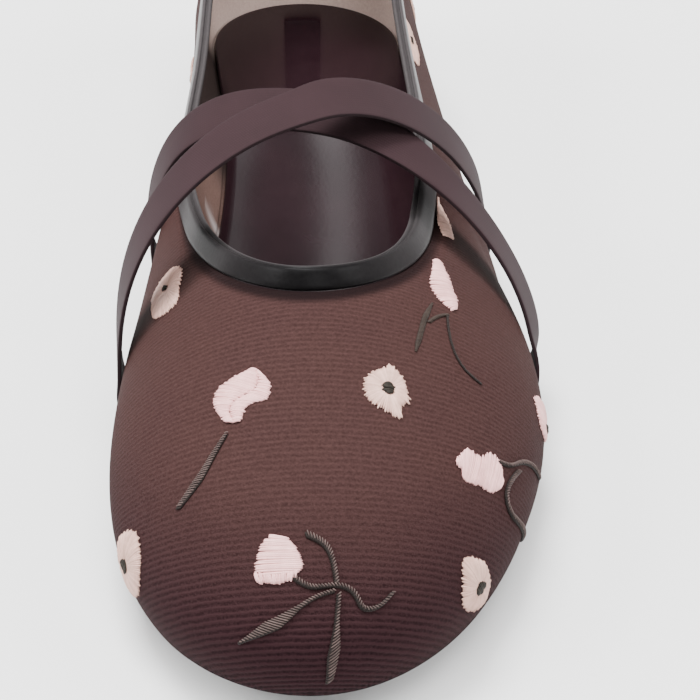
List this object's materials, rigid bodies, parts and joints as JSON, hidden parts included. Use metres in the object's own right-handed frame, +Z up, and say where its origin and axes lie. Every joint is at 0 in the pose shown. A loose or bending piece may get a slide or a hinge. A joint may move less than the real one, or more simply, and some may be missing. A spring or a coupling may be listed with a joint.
{
  "type": "dance shoe",
  "caption": "Soft left-foot flat with a rounded toe, hollow ribbed fabric upper, rolled leather collar, elastic straps crossed over the instep and a thin sole with a low heel.",
  "frame": {"origin": "on the floor under the middle of the shoe's box", "axes": "+Y from toe to heel, +X towards the outer side of the foot, +Z up from the floor"},
  "size_m": [0.0904, 0.2443, 0.0626],
  "materials": {
    "outsole_rubber": "matte",
    "heel_rubber": "matte",
    "insole_leather": "satin",
    "ribbed_fabric": "matte",
    "binding_leather": "gloss",
    "elastic": "matte",
    "back_tape": "matte"
  },
  "bodies": {
    "root": {"outsole": "outsole_rubber", "heel": "heel_rubber", "insole": "insole_leather", "upper": "ribbed_fabric", "collar_binding": "binding_leather", "strap_over": "elastic", "strap_under": "elastic", "back_strip": "back_tape"}
  },
  "joints": []
}
